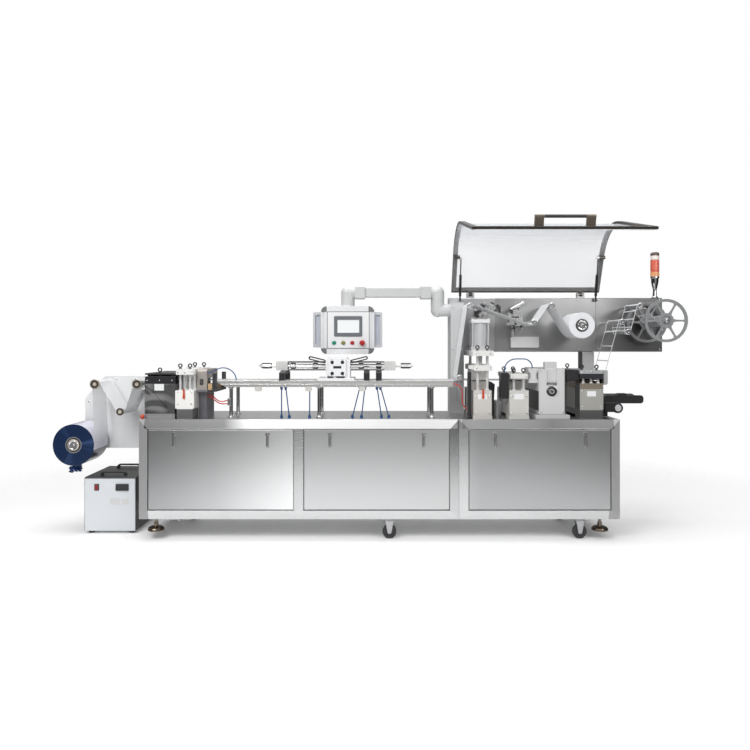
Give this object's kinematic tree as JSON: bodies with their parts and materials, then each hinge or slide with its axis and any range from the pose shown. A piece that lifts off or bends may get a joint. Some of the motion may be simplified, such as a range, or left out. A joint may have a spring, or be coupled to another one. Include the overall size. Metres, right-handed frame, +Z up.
{
  "type": "blister packing machine",
  "caption": "Flat-plate blister packing machine on casters: film roll, heating, forming, sealing and cutting stations on a steel cabinet, operator panel on a swivel arm, open hinged clear guard.",
  "frame": {"origin": "on the floor under the middle of the whole machine with its guard open", "axes": "+X along the film line from the film roll to the scrap reel, +Y from front to back, +Z up"},
  "size_m": [4.616, 1.1172, 2.2763],
  "materials": {
    "cabinet_steel": "brushed",
    "door_steel": "brushed",
    "chrome": "polished",
    "bronze": "satin",
    "zinc": "satin",
    "wheel_rubber": "matte",
    "plate_steel": "brushed",
    "roller_metal": "satin",
    "clear_film": "clear",
    "smoked_panel": "gloss",
    "black_metal": "satin",
    "cream_paint": "satin",
    "grey_metal": "brushed",
    "bright_steel": "brushed",
    "aluminium_profile": "satin",
    "white_paint": "satin",
    "panel_steel": "brushed",
    "warm_grey": "satin",
    "light_grey": "satin",
    "foil": "satin",
    "lamp_red": "gloss",
    "arm_paint": "satin",
    "chiller_paint": "satin",
    "black_plastic": "matte",
    "film_blue": "gloss",
    "cast_grey": "satin",
    "screen_black": "gloss",
    "dark_grey_plastic": "matte",
    "bronze_bar": "satin",
    "clear_acrylic": "clear",
    "lever_red": "gloss",
    "hose_blue": "gloss",
    "hose_red": "gloss"
  },
  "bodies": {
    "machine": {"left_cabinet": "cabinet_steel", "right_cabinet": "cabinet_steel", "door_panels": "door_steel", "door_handles": "chrome", "levelling_feet": "bronze", "caster_brackets": "zinc", "caster_wheels": "wheel_rubber", "film_stand_plate": "plate_steel", "film_guide_rollers": "roller_metal", "roll_spindles": "chrome", "film_web": "clear_film", "heating_box": "smoked_panel", "heating_plates": "black_metal", "forming_blocks": "cream_paint", "forming_head": "grey_metal", "guide_columns": "chrome", "film_track": "bright_steel", "track_legs": "aluminium_profile", "feeder_block": "white_paint", "feeder_rails": "aluminium_profile", "left_column": "white_paint", "right_column": "grey_metal", "upper_panel": "panel_steel", "sealing_blocks": "warm_grey", "sealing_plates": "grey_metal", "sealing_cylinder": "chrome", "cooling_blocks": "cream_paint", "cooling_plate": "grey_metal", "traction_housing": "light_grey", "cutting_blocks": "cream_paint", "cutting_head": "grey_metal", "outfeed_chute": "black_metal", "foil_rollers": "chrome", "foil_web": "foil", "coding_unit": "grey_metal", "scrap_web": "foil", "signal_base": "light_grey", "signal_lamp": "lamp_red", "arm_bracket": "arm_paint", "chiller_case": "chiller_paint", "chiller_trim": "black_plastic", "red_levers": "lever_red", "black_fittings": "black_metal", "air_tubes": "hose_blue", "blue_air_hoses": "hose_blue", "red_air_hoses": "hose_red"},
    "film_roll": {"film_roll": "film_blue"},
    "foil_roll": {"foil_roll": "foil"},
    "scrap_reel": {"reel_flanges": "cast_grey", "reel_core": "cast_grey"},
    "arm": {"hmi_arm": "arm_paint"},
    "operator_panel": {"hmi_box": "arm_paint", "hmi_trim": "dark_grey_plastic", "hmi_screen": "screen_black", "hmi_handles": "dark_grey_plastic"},
    "guard": {"guard_frame": "bronze_bar", "guard_sheet": "clear_acrylic", "guard_handle": "black_plastic"},
    "strut_tubes": {"strut_tubes": "black_metal"},
    "strut_rods": {"strut_rods": "chrome"}
  },
  "joints": [
    {"name": "guard_hinge", "type": "hinge", "parent": "machine", "child": "guard", "pos_m": [1.237, 0.52565, 1.775], "axis": [1, 0, 0], "range_deg": [0, 67]},
    {"name": "strut_swing", "type": "hinge", "parent": "machine", "child": "strut_tubes", "pos_m": [1.237, 0.44065, 1.73], "axis": [1, 0, 0], "range_deg": [0, 74.2]},
    {"name": "strut_stroke", "type": "slide", "parent": "strut_tubes", "child": "strut_rods", "axis": [0, 0.171, -0.9853], "range_m": [0, 0.10055]},
    {"name": "arm_swivel", "type": "hinge", "parent": "machine", "child": "arm", "pos_m": [0.524, 0.38065, 1.709], "axis": [0, 0, 1], "range_deg": [-90, 70]},
    {"name": "operator_panel_swivel", "type": "hinge", "parent": "arm", "child": "operator_panel", "pos_m": [-0.17, 0.38065, 1.681], "axis": [0, 0, 1], "range_deg": [-90, 90]},
    {"name": "film_roll_spin", "type": "hinge", "parent": "machine", "child": "film_roll", "pos_m": [-2.156, 0.20065, 0.646], "axis": [0, 1, 0], "continuous": true},
    {"name": "foil_roll_spin", "type": "hinge", "parent": "machine", "child": "foil_roll", "pos_m": [1.546, 0.20065, 1.517], "axis": [0, 1, 0], "continuous": true},
    {"name": "scrap_reel_spin", "type": "hinge", "parent": "machine", "child": "scrap_reel", "pos_m": [2.151, 0.23065, 1.551], "axis": [0, 1, 0], "continuous": true}
  ],
  "couplings": [
    {"joint": "strut_swing", "follows": "guard_hinge", "ratio": 1.1075},
    {"joint": "strut_stroke", "follows": "guard_hinge", "m_per_rad": 0.085988}
  ]
}
